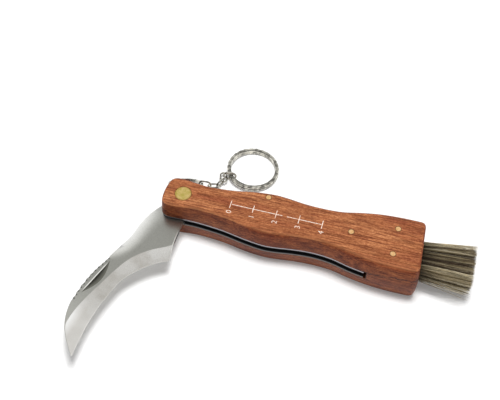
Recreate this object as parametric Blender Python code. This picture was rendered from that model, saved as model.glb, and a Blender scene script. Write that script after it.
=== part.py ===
"""Mushroom knife: a folding hawkbill blade in a one-piece slotted wooden handle, with steel liners,
a slip-joint back spring, a bristle brush in the butt and a key ring on a short chain.

Metres. +X runs from the blade pivot to the brush, -Y is the belly side, where the blade folds in,
and +Z is up. The knife lies on its side. The origin is in the middle of the wood's lower face.
The blade stands as far open as it is on the bench, and its joint turns it shut or right open.
"""

import math
import random

import bmesh
import bpy
from mathutils import Matrix, Vector

# Handle
HANDLE_LENGTH = 0.1132
HANDLE_THICKNESS = 0.0202
BUTT_HALF_WIDTH = 0.0142
SIDE_CROWN = 0.0023
END_CROWN = 0.0005
EDGE_ROUND = 0.0005
HEAD_END_RADIUS = 0.0220
END_FLARE_SHARE = 0.042
HEAD_CORNER_RADIUS = 0.0025
BUTT_CORNER_RADIUS = 0.0028
PIVOT_FROM_HEAD = 0.0088
# Along the handle: share of its length, shares of the butt's half width at the back and the belly,
# share of the side's crown.
HANDLE_LINE_SHARES = (
    (0.023, 0.630, 0.588, 0.50),
    (0.077, 0.617, 0.571, 0.54),
    (0.122, 0.592, 0.560, 0.69),
    (0.166, 0.588, 0.570, 0.80),
    (0.254, 0.652, 0.634, 0.85),
    (0.342, 0.779, 0.761, 0.85),
    (0.414, 0.852, 0.831, 0.96),
    (0.466, 0.831, 0.810, 0.96),
    (0.537, 0.750, 0.732, 0.88),
    (0.608, 0.718, 0.697, 0.81),
    (0.679, 0.767, 0.746, 0.92),
    (0.749, 0.901, 0.880, 1.00),
    (0.819, 0.997, 0.972, 1.00),
    (0.891, 1.035, 1.011, 0.97),
    (0.961, 1.046, 1.021, 1.00),
    (1.000, 1.039, 1.014, 1.00),
)
# Places on the rounded head end, as shares of its half width.
HEAD_END_SHARES = (0.35, 0.70)
SIDE_STEPS = 4
CORNER_STEPS = 5
# Heights of the side's rings, as shares of the thickness.
SIDE_LEVEL_SHARES = (0.12, 0.26, 0.50, 0.74, 0.88)

# Leaves in the slot
LEAF_CLEARANCE = 0.00025
LINER_THICKNESS = 0.0009
BLADE_THICKNESS = 0.0020
SLOT_END_CLEARANCE = 0.0011
# Wood between the slot's end and the brush's socket
SOCKET_WEB = 0.0045

# Pins and the pivot
PIN_CLEARANCE = 0.0002
PIN_RECESS = 0.0001
PIN_RADIUS = 0.00115
PIVOT_SHANK_RADIUS = 0.0022
PIVOT_HEAD_RADIUS = 0.0035
PIVOT_HEAD_DEPTH = 0.0016
# Along: shares of the slot's length from the pivot. Up: shares of the butt's half width.
SPRING_PIN_SHARES = (0.431, 0.549)
TAIL_PIN_SHARES = (0.883, -0.014)
BRUSH_PINS_FROM_SOCKET = 0.0044
BRUSH_PINS_HALF_SPACING = 0.0064

# Blade, drawn shut: x from the pivot along the handle, y towards the back.
BLADE_TIP_CLEARANCE = 0.0015
BLADE_DROP = 0.0184
BLADE_OPEN_ANGLE = math.radians(101)
EDGE_HALF_THICKNESS = 0.00012
TIP_HALF_THICKNESS = 0.00035
HOLLOW_SHARE = 0.30
HOLLOW_STATION_SHARES = (0.33, 0.67)
TANG_RADIUS = 0.0044
TANG_STATION_DEGREES = (12, 35, 62, 90)
# The step that meets the spring's end when the blade is right open: shares of the tang's radius.
TANG_STOP_SHARES = (
    ((0.43, -1.04), (0.60, 1.00)),
    ((0.32, -1.66), (0.97, 0.90)),
)
# Each row pairs a spine point, a grind-line point and an edge point: shares of the reach and the drop.
RICASSO_SHARES = (
    ((0.049, -0.470), (0.086, 0.200)),
    ((0.085, -0.545), (0.125, 0.205)),
    ((0.123, -0.610), (0.168, 0.222)),
    ((0.165, -0.650), (0.208, 0.250)),
)
GRIND_START_SHARES = ((0.202, -0.676), (0.246, 0.286), (0.246, 0.286))
GRIND_SHARES = (
    ((0.250, -0.680), (0.273, 0.176), (0.331, 0.417)),
    ((0.297, -0.692), (0.306, -0.008), (0.360, 0.258)),
    ((0.350, -0.745), (0.343, -0.170), (0.397, 0.088)),
    ((0.402, -0.803), (0.384, -0.312), (0.438, -0.055)),
    ((0.440, -0.836), (0.436, -0.436), (0.487, -0.185)),
    ((0.490, -0.887), (0.497, -0.526), (0.542, -0.294)),
    ((0.550, -0.957), (0.563, -0.600), (0.614, -0.350)),
    ((0.615, -1.000), (0.633, -0.668), (0.693, -0.386)),
    ((0.690, -1.014), (0.706, -0.742), (0.766, -0.392)),
    ((0.761, -0.996), (0.783, -0.794), (0.835, -0.380)),
    ((0.825, -0.931), (0.845, -0.804), (0.880, -0.356)),
    ((0.881, -0.818), (0.888, -0.774), (0.918, -0.332)),
    ((0.939, -0.625), (0.942, -0.592), (0.958, -0.308)),
    ((1.008, -0.292), (1.008, -0.282), (1.007, -0.270)),
)
GRIND_STEPS = 5
TIP_TAPER_SHARE = 0.80
# Thumb notches along the spine
NOTCH_DEPTH = 0.0005
NOTCH_COUNT = 13
NOTCH_START_SHARE = 0.452
NOTCH_END_SHARE = 0.752
# Nail nick, on the upper face
NICK_DEPTH = 0.0006
NICK_START_SHARES = (0.460, -0.765)
NICK_END_SHARES = (0.682, -0.905)
NICK_BOW_SHARE = 0.115
NICK_END_SWELL_SHARE = 0.02
NICK_STEPS = 16

# Back spring
SPRING_FRONT = 0.0024
SPRING_TANG_GAP = 0.0003
BACK_INSET = 0.00025
# Lower line of the spring: shares of its own length behind the pivot and of the butt's half width.
SPRING_LINE_SHARES = (
    (0.100, 0.331),
    (0.168, 0.352),
    (0.230, 0.430),
    (0.285, 0.560),
    (0.325, 0.600),
    (0.360, 0.560),
    (0.400, 0.400),
    (0.460, 0.250),
    (0.560, 0.060),
    (0.660, -0.080),
    (0.780, -0.190),
    (0.900, -0.215),
    (1.000, -0.215),
)

# Lanyard lug on the liners, its pin and the split ring on the pin
LUG_PIN_AT = (-0.0036, 0.0113)
LUG_RADIUS = 0.0017
LUG_STEPS = 8
LANYARD_PIN_RADIUS = 0.0007
LANYARD_HEAD_RADIUS = 0.0013
LANYARD_HEAD_FLAT_SHARE = 0.6
LANYARD_HEAD_HEIGHT = 0.0005
LANYARD_RING_RADIUS = 0.00805
LANYARD_BAND_WIDTH = 0.0011
LANYARD_BAND_HEIGHT = 0.0014
LANYARD_RING_TURN = math.radians(14)
LANYARD_RUNNING_GAP = 0.00020
FLOOR_GAP = 0.00005

# Chain
LINK_LENGTH = 0.0063
LINK_WIDTH = 0.0037
LINK_WIRE = 0.0009
LINK_GAP = 0.00036
CHAIN_LIFT = 0.0004
LINK_STEPS = 20
WIRE_STEPS = 8
RING_EXIT_ANGLE = math.radians(6)
FIRST_LINK_DIP = math.radians(12)
SECOND_LINK_HEADING = math.radians(24)
THIRD_LINK_HEADING = math.radians(71)
FOURTH_LINK_HEADING = math.radians(108)
CLASP_HEADING = math.radians(10)
CLASP_LENGTH = 0.0068
CLASP_WIDTH = 0.0052
CLASP_WIRE = 0.0011

# Key ring
KEY_RING_RADIUS = 0.0120
KEY_BAND_WIDTH = 0.0017
KEY_BAND_HEIGHT = 0.0025
KEY_RING_HEADING = math.radians(38)
KEY_RING_SHIFT = 0.0005
BAND_GROOVE_SHARE = 0.16
BAND_CORNER_SHARE = 0.30
RING_STEPS = 48

# Brush
SOCKET_DEPTH = 0.0164
SOCKET_HALF_WIDTH = 0.0085
SOCKET_HALF_HEIGHT = 0.0043
SOCKET_CLEARANCE = 0.0003
SOCKET_CORNER = 0.0012
BLOCK_LENGTH = 0.0110
BRISTLE_ROOT_HALF_WIDTH = 0.0076
BRISTLE_ROOT_HALF_HEIGHT = 0.0035
BRISTLE_BACKING = 0.0015
BRISTLE_REACH = 0.0226
BRISTLE_CELLS_WIDE = 40
BRISTLE_CELLS_HIGH = 18
BRISTLE_TIP_SHARE = 0.70
BRISTLE_FLARE_SHARE = 0.26
BRISTLE_LEAN = 0.0012
BRISTLE_LENGTH_SPREAD = 0.0012
BRISTLE_STRAY = 0.00009
BRISTLE_SEED = 7

# One overrun serves every cut, and one side count every round pin.
CUT_OVERRUN = 0.002
MERGE_DISTANCE = 0.00001
ROUND_STEPS = 24

SLOT_HEIGHT = BLADE_THICKNESS + 2 * LINER_THICKNESS + 4 * LEAF_CLEARANCE
MIDDLE = HANDLE_THICKNESS / 2
PIVOT_X = PIVOT_FROM_HEAD - HANDLE_LENGTH / 2
HEAD_X = -HANDLE_LENGTH / 2
BUTT_X = HANDLE_LENGTH / 2
SOCKET_X = BUTT_X - SOCKET_DEPTH
SLOT_END_X = SOCKET_X - SOCKET_WEB
SLOT_SPAN = SLOT_END_X - PIVOT_X
BLADE_REACH = SLOT_SPAN - BLADE_TIP_CLEARANCE


def clear_scene():
    for thing in list(bpy.data.objects):
        bpy.data.objects.remove(thing, do_unlink=True)


def make_material(name, colour, roughness, metallic):
    material = bpy.data.materials.new(name)
    material.use_nodes = True
    shader = material.node_tree.nodes["Principled BSDF"]
    shader.inputs["Base Color"].default_value = (*colour, 1)
    shader.inputs["Roughness"].default_value = roughness
    shader.inputs["Metallic"].default_value = metallic
    return material


def make_object(name, mesh_data, material, smooth_degrees=None):
    """An object from a bmesh, with its faces turned outwards."""
    bmesh.ops.recalc_face_normals(mesh_data, faces=mesh_data.faces)
    mesh = bpy.data.meshes.new(name)
    mesh_data.to_mesh(mesh)
    mesh_data.free()
    if smooth_degrees is not None:
        mesh.shade_smooth()
        mesh.set_sharp_from_angle(angle=math.radians(smooth_degrees))
    thing = bpy.data.objects.new(name, mesh)
    bpy.context.scene.collection.objects.link(thing)
    if material:
        mesh.materials.append(material)
    return thing


def cut_with(thing, cutter):
    cutter.hide_render = True
    cutter.display_type = "WIRE"
    boolean = thing.modifiers.new(cutter.name, "BOOLEAN")
    boolean.operation = "DIFFERENCE"
    boolean.solver = "EXACT"
    boolean.object = cutter


def smooth_line(points, steps):
    """A Catmull-Rom line through points of any size, with this many steps between each two."""
    ends = [2 * Vector(points[0]) - Vector(points[1]), *map(Vector, points)]
    ends.append(2 * ends[-1] - ends[-2])
    line = []
    for before, start, stop, after in zip(ends, ends[1:], ends[2:], ends[3:]):
        for step in range(steps):
            t = step / steps
            line.append(
                0.5 * (2 * start + (stop - before) * t
                       + (2 * before - 5 * start + 4 * stop - after) * t**2
                       + (3 * start - 3 * stop + after - before) * t**3)
            )
    line.append(ends[-2])
    return line


def corner(start, tip, stop, steps):
    """A round corner from start to stop that leans into tip."""
    start, tip, stop = Vector(start), Vector(tip), Vector(stop)
    shares = [step / steps for step in range(steps + 1)]
    return [start * (1 - t) ** 2 + 2 * tip * t * (1 - t) + stop * t**2 for t in shares]


def loft(rings, looped=False):
    """A closed body through rings of points that all have the same count, capped or looped."""
    body = bmesh.new()
    rows = [[body.verts.new(point) for point in ring] for ring in rings]
    if looped:
        rows.append(rows[0])
    for lower, upper in zip(rows, rows[1:]):
        for index in range(len(lower)):
            after = (index + 1) % len(lower)
            body.faces.new((lower[index], lower[after], upper[after], upper[index]))
    if not looped:
        body.faces.new(rows[0])
        body.faces.new(rows[-1])
    return body


def swept_loop(profile, steps, straight=0.0):
    """A profile of (radius, height) swept about Z: a ring, or a link where its halves stand apart."""
    half = steps // 2
    rings = []
    for side in (1, -1):
        start = Vector((side * straight, 0, 0))
        for step in range(half + 1 if straight else half):
            turn = math.pi * (step / half - 0.5)
            out = Vector((side * math.cos(turn), side * math.sin(turn), 0))
            rings.append([start + out * radius + Vector((0, 0, up)) for radius, up in profile])
    return loft(rings, looped=True)


def plate(outline, low, high):
    return loft([[(x, y, z) for x, y in outline] for z in (low, high)])


def box(low, high):
    (x0, y0, z0), (x1, y1, z1) = low, high
    return plate([(x0, y0), (x1, y0), (x1, y1), (x0, y1)], z0, z1)


def rod(radius, low, high, steps=ROUND_STEPS):
    turns = [2 * math.pi * step / steps for step in range(steps)]
    return plate([(radius * math.cos(turn), radius * math.sin(turn)) for turn in turns], low, high)


def turned(name, profile, material, steps=ROUND_STEPS):
    """A body turned round its Z axis from a profile of (radius, height) that runs down its outer side."""
    mesh = bpy.data.meshes.new(name)
    edges = [(index, index + 1) for index in range(len(profile) - 1)]
    mesh.from_pydata([(radius, 0, height) for radius, height in profile], edges, [])
    thing = bpy.data.objects.new(name, mesh)
    bpy.context.scene.collection.objects.link(thing)
    if material:
        mesh.materials.append(material)
    screw = thing.modifiers.new("turn", "SCREW")
    screw.steps = steps
    screw.render_steps = steps
    screw.use_merge_vertices = True
    screw.merge_threshold = MERGE_DISTANCE
    screw.use_smooth_shade = True
    return thing


def handle_line(side):
    """Stations (x, half width, crown) along the handle's back (side 1) or belly (side -1)."""
    stations = []
    for along, back, belly, crown in HANDLE_LINE_SHARES:
        width = (back if side > 0 else belly) * BUTT_HALF_WIDTH
        stations.append((HEAD_X + along * HANDLE_LENGTH, width, crown * SIDE_CROWN))
    return smooth_line(stations, SIDE_STEPS)


def half_width(side, x, inset=0.0):
    """The handle's half width in its middle plane at this x, less an inset."""
    line = handle_line(side)
    for (x0, y0, _), (x1, y1, _) in zip(line, line[1:]):
        if x0 <= x <= x1:
            return y0 + (y1 - y0) * (x - x0) / (x1 - x0) - inset
    return line[-1][1] - inset


def back_height(x):
    return half_width(1, x, BACK_INSET)


def head_end(y):
    return HEAD_X + y * y / (2 * HEAD_END_RADIUS) + END_FLARE_SHARE * y


def butt_end(y):
    return BUTT_X - END_FLARE_SHARE * y


def side_outline(side, rise, inset):
    """The outline from the head's end along one side to the butt's end, as points off the middle line."""
    line = [(x, side * (width - crown * rise - inset)) for x, width, crown in handle_line(side)]
    pull = END_CROWN * rise + inset
    start = line[0][1]
    head_from = start - side * HEAD_CORNER_RADIUS
    side_from, side_to = line[0][0] + HEAD_CORNER_RADIUS, BUTT_X - BUTT_CORNER_RADIUS
    along = [point for point in line if side_from < point[0] < side_to]
    points = [(head_end(share * head_from) + pull, share * head_from) for share in HEAD_END_SHARES]
    points += corner(
        (head_end(head_from) + pull, head_from), (head_end(start) + pull, start), along[0], CORNER_STEPS
    )
    points += along[1:-1]
    last = line[-1][1]
    butt_from = last - side * BUTT_CORNER_RADIUS
    points += corner(
        along[-1], (butt_end(last) - pull, last), (butt_end(butt_from) - pull, butt_from), CORNER_STEPS
    )
    return [tuple(point) for point in points]


def handle_outline(rise, inset=0.0):
    """The handle's outline at a rise of 0 in the middle plane to 1 at its faces, inset all round."""
    start = [(head_end(0) + END_CROWN * rise + inset, 0)]
    return start + side_outline(1, rise, inset) + side_outline(-1, rise, inset)[::-1]


def make_handle(wood):
    levels = [(0.0, EDGE_ROUND), (EDGE_ROUND, 0.0)]
    levels += [(share * HANDLE_THICKNESS, 0.0) for share in SIDE_LEVEL_SHARES]
    levels += [(HANDLE_THICKNESS - EDGE_ROUND, 0.0), (HANDLE_THICKNESS, EDGE_ROUND)]
    rings = []
    for z, inset in levels:
        rise = (z / MIDDLE - 1) ** 2
        rings.append([(x, y, z) for x, y in handle_outline(rise, inset)])
    handle = make_object("handle_body", loft(rings), wood, 35)
    reach = BUTT_HALF_WIDTH + CUT_OVERRUN
    slot = box(
        (HEAD_X - CUT_OVERRUN, -reach, MIDDLE - SLOT_HEIGHT / 2),
        (SLOT_END_X, reach, MIDDLE + SLOT_HEIGHT / 2),
    )
    cut_with(handle, make_object("slot_cutter", slot, None))
    socket = socket_body(
        SOCKET_X, BUTT_X + CUT_OVERRUN, SOCKET_HALF_WIDTH, SOCKET_HALF_HEIGHT
    )
    cut_with(handle, make_object("socket_cutter", socket, None))
    cut_with(handle, pivot_body("pivot_cutter", PIN_CLEARANCE, None))
    for name, (x, y) in pin_places().items():
        cut_with(handle, pin_cutter(name + "_cutter", x, y))
    return handle


def pin_places():
    brush_x = SOCKET_X + BRUSH_PINS_FROM_SOCKET
    spring, tail = (
        (PIVOT_X + along * SLOT_SPAN, up * BUTT_HALF_WIDTH)
        for along, up in (SPRING_PIN_SHARES, TAIL_PIN_SHARES)
    )
    return {
        "spring_pin": spring,
        "tail_pin": tail,
        "brush_pin_back": (brush_x, BRUSH_PINS_HALF_SPACING),
        "brush_pin_belly": (brush_x, -BRUSH_PINS_HALF_SPACING),
    }


def pin_cutter(name, x, y, radius=PIN_RADIUS):
    body = rod(radius + PIN_CLEARANCE, -CUT_OVERRUN, HANDLE_THICKNESS + CUT_OVERRUN)
    cutter = make_object(name, body, None)
    cutter.location = (x, y, 0)
    return cutter


def make_pins(brass):
    for name, (x, y) in pin_places().items():
        body = rod(PIN_RADIUS, PIN_RECESS, HANDLE_THICKNESS - PIN_RECESS)
        pin = make_object(name, body, brass, 35)
        pin.location = (x, y, 0)


def pivot_body(name, clearance, material):
    """The pivot rivet, two heads on one shank, or the larger space that it goes in."""
    head = PIVOT_HEAD_RADIUS + clearance
    shank = PIVOT_SHANK_RADIUS + clearance
    end = CUT_OVERRUN if clearance else -PIN_RECESS
    top = HANDLE_THICKNESS + end
    neck = HANDLE_THICKNESS - PIVOT_HEAD_DEPTH - clearance
    profile = [(0, top), (head, top), (head, neck), (shank, neck)]
    profile += [(radius, HANDLE_THICKNESS - height) for radius, height in reversed(profile)]
    thing = turned(name, profile, material)
    thing.location = (PIVOT_X, 0, 0)
    return thing


def socket_body(x0, x1, half_width, half_height):
    """A bar along X with rounded long edges, about the handle's middle plane."""
    w, h, r = half_width, half_height, SOCKET_CORNER
    section = []
    for side, up in ((1, 1), (-1, 1), (-1, -1), (1, -1)):
        bend = corner((side * w, up * (h - r)), (side * w, up * h), (side * (w - r), up * h), 3)
        section += bend if side * up > 0 else reversed(bend)
    return loft([[(x, y, MIDDLE + z) for y, z in section] for x in (x0, x1)])


def liner_outline():
    """The slot's own outline, with a lug for the lanyard pin behind the head."""
    outline = handle_outline(0.0, BACK_INSET)
    last_x = SLOT_END_X - SLOT_END_CLEARANCE
    pin_x, pin_y = PIVOT_X + LUG_PIN_AT[0], LUG_PIN_AT[1]
    back = [point for point in outline if point[1] >= 0 and point[0] < last_x]
    belly = [point for point in outline if point[1] < 0 and point[0] < last_x]
    lug = []
    for step in range(LUG_STEPS + 1):
        turn = math.pi * (1 - step / LUG_STEPS)
        lug.append((pin_x + LUG_RADIUS * math.cos(turn), pin_y + LUG_RADIUS * math.sin(turn)))
    lug.insert(0, (pin_x - LUG_RADIUS, back_height(pin_x - LUG_RADIUS)))
    lug.append((pin_x + LUG_RADIUS, back_height(pin_x + LUG_RADIUS)))
    before = [point for point in back if point[0] < pin_x - LUG_RADIUS]
    after = [point for point in back if point[0] > pin_x + LUG_RADIUS]
    ends = [(last_x, back_height(last_x)), (last_x, -half_width(-1, last_x, BACK_INSET))]
    return before + lug + after + ends + belly


def make_liners(steel):
    outline = liner_outline()
    inner = BLADE_THICKNESS / 2 + LEAF_CLEARANCE
    outer = inner + LINER_THICKNESS
    places = pin_places()
    for name, low, high in (
        ("liner_upper", MIDDLE + inner, MIDDLE + outer),
        ("liner_lower", MIDDLE - outer, MIDDLE - inner),
    ):
        liner = make_object(name, plate(outline, low, high), steel)
        for pin in ("spring_pin", "tail_pin"):
            cut_with(liner, pin_cutter(f"{name}_{pin}_cutter", *places[pin]))
        pivot = pin_cutter(f"{name}_pivot_cutter", PIVOT_X, 0, PIVOT_SHANK_RADIUS)
        cut_with(liner, pivot)
        lug_x, lug_y = PIVOT_X + LUG_PIN_AT[0], LUG_PIN_AT[1]
        cut_with(liner, pin_cutter(f"{name}_lug_cutter", lug_x, lug_y, LANYARD_PIN_RADIUS))


def make_spring(steel):
    """One stamped plate: a thin arm that rides on the tang, and a wide tail that the two pins hold."""
    front = PIVOT_X - SPRING_FRONT
    last_x = SLOT_END_X - SLOT_END_CLEARANCE
    span = last_x - PIVOT_X
    under = TANG_RADIUS + SPRING_TANG_GAP
    line = [(PIVOT_X + along * span, up * BUTT_HALF_WIDTH) for along, up in SPRING_LINE_SHARES]
    lower = [(front, under)] + [tuple(point) for point in smooth_line(line, 3)]
    upper = [point for point in handle_outline(0.0, BACK_INSET) if point[1] > 0]
    upper = [point for point in upper if front < point[0] < last_x]
    upper.insert(0, (front, back_height(front)))
    upper.append((last_x, back_height(last_x)))
    outline = lower + list(reversed(upper))
    half = BLADE_THICKNESS / 2
    spring = make_object("back_spring", plate(outline, MIDDLE - half, MIDDLE + half), steel)
    places = pin_places()
    for pin in ("spring_pin", "tail_pin"):
        cut_with(spring, pin_cutter(f"back_spring_{pin}_cutter", *places[pin]))


def blade_point(shares):
    return Vector((shares[0] * BLADE_REACH, shares[1] * BLADE_DROP))


def notched(point, inwards):
    """A spine point, drawn in by the thumb notches where they run."""
    share = point.x / BLADE_REACH
    if not NOTCH_START_SHARE < share < NOTCH_END_SHARE:
        return point
    along = (share - NOTCH_START_SHARE) / (NOTCH_END_SHARE - NOTCH_START_SHARE)
    return point + inwards.normalized() * NOTCH_DEPTH * math.sin(math.pi * NOTCH_COUNT * along) ** 2


def blade_section(spine, grind, edge, spine_half, grind_half, edge_half):
    """One ring round the blade: flat from the spine to the grind line, then hollow down to the edge."""
    upper = [(spine, spine_half), (grind, grind_half)]
    for share in HOLLOW_STATION_SHARES:
        straight = grind_half + (edge_half - grind_half) * share
        hollow = HOLLOW_SHARE * (grind_half - edge_half) * math.sin(math.pi * share)
        upper.append((grind.lerp(edge, share), straight - hollow))
    upper.append((edge, edge_half))
    lower = [(point, -half) for point, half in reversed(upper)]
    return [(point.x, point.y, half) for point, half in upper + lower]


def blade_sections():
    half = BLADE_THICKNESS / 2
    rings = []
    for degrees in TANG_STATION_DEGREES:
        turn = math.radians(degrees)
        up = Vector((-TANG_RADIUS * math.cos(turn), TANG_RADIUS * math.sin(turn)))
        down = Vector((up.x, -up.y))
        rings.append(blade_section(down, down.lerp(up, 0.5), up, half, half, half))
    flats = [(TANG_RADIUS * Vector(low), TANG_RADIUS * Vector(high)) for low, high in TANG_STOP_SHARES]
    flats += [(blade_point(low), blade_point(high)) for low, high in RICASSO_SHARES]
    for low, high in flats:
        rings.append(blade_section(low, low.lerp(high, 0.5), high, half, half, half))
    start = [blade_point(shares) for shares in GRIND_START_SHARES]
    rows = [[blade_point(shares) for shares in row] for row in GRIND_SHARES]
    for step in range(GRIND_STEPS):
        share = step / GRIND_STEPS
        spine, grind, edge = (a.lerp(b, share) for a, b in zip(start, rows[0]))
        thin = half + (EDGE_HALF_THICKNESS - half) * share
        middle = grind if step else spine.lerp(edge, 0.5)
        rings.append(blade_section(spine, middle, edge, half, half, thin))
    lines = [smooth_line([row[index] for row in rows], GRIND_STEPS) for index in range(3)]
    for spine, grind, edge in zip(*lines):
        share = spine.x / BLADE_REACH
        taper = max(0.0, (share - TIP_TAPER_SHARE) / (1 - TIP_TAPER_SHARE))
        thick = half + (TIP_HALF_THICKNESS - half) * taper
        rings.append(
            blade_section(
                notched(spine, grind - spine), grind, edge, thick, thick, EDGE_HALF_THICKNESS
            )
        )
    return rings


def nick_body():
    """A sickle-shaped groove: upright along its straight side, sloping out to its bowed side."""
    start, stop = blade_point(NICK_START_SHARES), blade_point(NICK_END_SHARES)
    across = Vector((start.y - stop.y, stop.x - start.x))
    top = BLADE_THICKNESS / 2 + CUT_OVERRUN
    rings = []
    for step in range(NICK_STEPS + 1):
        share = step / NICK_STEPS
        swell = max(math.sin(math.pi * share), NICK_END_SWELL_SHARE)
        keel = start.lerp(stop, share)
        rim = keel + across * NICK_BOW_SHARE * swell
        floor = BLADE_THICKNESS / 2 - NICK_DEPTH * swell
        rings.append([
            (keel.x, keel.y, top), (keel.x, keel.y, floor),
            (rim.x, rim.y, BLADE_THICKNESS / 2), (rim.x, rim.y, top),
        ])
    return loft(rings)


def make_blade(steel):
    blade = make_object("blade", loft(blade_sections()), steel, 25)
    place = Matrix.Translation((PIVOT_X, 0, MIDDLE)) @ Matrix.Rotation(-BLADE_OPEN_ANGLE, 4, "Z")
    blade.matrix_world = place
    nick = make_object("nick_cutter", nick_body(), None)
    nick.matrix_world = place
    cut_with(blade, nick)
    cut_with(blade, pin_cutter("blade_pivot_cutter", PIVOT_X, 0, PIVOT_SHANK_RADIUS))


def band_profile(radius, width, height):
    """The section of a split ring's two turns, outer side first, with a groove where they meet."""
    inner, outer, half = radius - width, radius, height / 2
    cut, groove = BAND_CORNER_SHARE * width, BAND_GROOVE_SHARE * width
    return [
        (outer - cut, half), (outer, half - cut), (outer, groove), (outer - groove, 0),
        (outer, -groove), (outer, cut - half), (outer - cut, -half),
        (inner + cut, -half), (inner, cut - half), (inner, -groove), (inner + groove, 0),
        (inner, groove), (inner, half - cut), (inner + cut, half),
    ]


def lanyard_frame():
    """The lanyard ring's near point, its level direction and its slope, from the pin to the floor."""
    reach = 2 * LANYARD_RING_RADIUS - LANYARD_BAND_WIDTH / 2
    half = LANYARD_BAND_HEIGHT / 2
    drop = MIDDLE - FLOOR_GAP
    lean = math.asin(drop / math.hypot(reach, half)) - math.atan2(half, reach)
    level = Vector((math.cos(LANYARD_RING_TURN), math.sin(LANYARD_RING_TURN), 0))
    out = Vector((-level.y, level.x, 0))
    slope = out * math.cos(lean) - Vector((0, 0, math.sin(lean)))
    seat = LANYARD_PIN_RADIUS + LANYARD_RUNNING_GAP
    seat += LANYARD_BAND_WIDTH / 2 * math.cos(lean) + half * math.sin(lean)
    near = Vector((PIVOT_X + LUG_PIN_AT[0], LUG_PIN_AT[1], MIDDLE)) - out * seat
    return near, level, slope


def hang(name, body, along, across, centre, joint, material):
    """An object from a body that is turned and placed, with its origin at its joint."""
    along = along.normalized()
    up = along.cross(across).normalized()
    turn = Matrix((along, up.cross(along), up)).transposed().to_4x4()
    body.transform(Matrix.Translation(centre - joint) @ turn)
    thing = make_object(name, body, material, 50)
    thing.location = joint


def make_lanyard_ring(nickel):
    near, level, slope = lanyard_frame()
    centre = near + slope * (LANYARD_RING_RADIUS - LANYARD_BAND_WIDTH / 2)
    profile = band_profile(LANYARD_RING_RADIUS, LANYARD_BAND_WIDTH, LANYARD_BAND_HEIGHT)
    joint = Vector((PIVOT_X + LUG_PIN_AT[0], LUG_PIN_AT[1], MIDDLE))
    body = swept_loop(profile, RING_STEPS)
    hang("lanyard_ring", body, level, slope, centre, joint, nickel)
    return centre, level, slope


def make_lanyard_pin(steel):
    outer = BLADE_THICKNESS / 2 + 2 * LEAF_CLEARANCE + LINER_THICKNESS
    top = outer + LANYARD_HEAD_HEIGHT
    profile = [
        (0, top), (LANYARD_HEAD_FLAT_SHARE * LANYARD_HEAD_RADIUS, top),
        (LANYARD_HEAD_RADIUS, outer + LEAF_CLEARANCE),
        (LANYARD_HEAD_RADIUS, outer), (LANYARD_PIN_RADIUS, outer),
    ]
    profile += [(radius, -height) for radius, height in reversed(profile)]
    pin = turned("lanyard_pin", profile, steel, 16)
    pin.location = (PIVOT_X + LUG_PIN_AT[0], LUG_PIN_AT[1], MIDDLE)


def link_body(length, width, wire):
    """A closed oval link of round wire, lying flat with its length along X."""
    bend = (width - wire) / 2
    turns = [2 * math.pi * step / WIRE_STEPS for step in range(WIRE_STEPS)]
    section = [(bend + wire / 2 * math.cos(turn), wire / 2 * math.sin(turn)) for turn in turns]
    return swept_loop(section, LINK_STEPS, (length - width) / 2)


def level_direction(heading, drop=0.0):
    flat = Vector((math.cos(heading), math.sin(heading), 0))
    return flat * math.cos(drop) - Vector((0, 0, math.sin(drop)))


def make_chain(nickel, ring_centre, level, slope):
    """Four links from the lanyard ring, on edge and flat in turn, then the clasp and the key ring.

    A link on edge has an upright wire at each of its ends, and the flat links turn round those.
    """
    up, wire = Vector((0, 0, 1)), LINK_WIRE
    reach = (LINK_LENGTH - wire) / 2
    flat_reach = reach - wire - LINK_GAP
    edge_height = LINK_WIDTH / 2 + FLOOR_GAP + CHAIN_LIFT

    def add(number, heading, across, joint, distance):
        centre = joint + heading * distance
        body = link_body(LINK_LENGTH, LINK_WIDTH, wire)
        hang(f"chain_link_{number}", body, heading, across, centre, joint, nickel)
        return centre + heading * distance

    out = level * math.cos(RING_EXIT_ANGLE) + slope * math.sin(RING_EXIT_ANGLE)
    rise = level.cross(slope)
    dip_cos, dip_sin = math.cos(FIRST_LINK_DIP), math.sin(FIRST_LINK_DIP)
    first = out * dip_cos - rise * dip_sin
    seat = (LANYARD_BAND_WIDTH * dip_cos + LANYARD_BAND_HEIGHT * dip_sin + wire) / 2 + LINK_GAP
    joint = ring_centre + out * (LANYARD_RING_RADIUS - LANYARD_BAND_WIDTH / 2) - first * seat
    first_wire = rise * dip_cos + out * dip_sin
    joint = add(1, first, first_wire, joint, reach)
    drop = math.asin((joint.z - edge_height) / (2 * flat_reach + 2 * reach))
    second = level_direction(SECOND_LINK_HEADING, drop)
    joint = add(2, second, (up + first_wire).cross(second), joint, flat_reach)
    joint = add(3, level_direction(THIRD_LINK_HEADING, drop), up, joint, reach)
    fourth = level_direction(FOURTH_LINK_HEADING)
    joint = add(4, fourth, up.cross(fourth), joint, flat_reach)

    clasp = level_direction(CLASP_HEADING)
    joint -= fourth * (LINK_GAP + (CLASP_WIRE - wire) / 2)
    centre = joint + clasp * (CLASP_LENGTH - CLASP_WIRE) / 2
    centre.z = CLASP_WIDTH / 2 + FLOOR_GAP
    body = link_body(CLASP_LENGTH, CLASP_WIDTH, CLASP_WIRE)
    hang("ring_clasp", body, clasp, up, centre, joint, nickel)
    make_key_ring(nickel, centre + clasp * KEY_RING_SHIFT)


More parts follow.
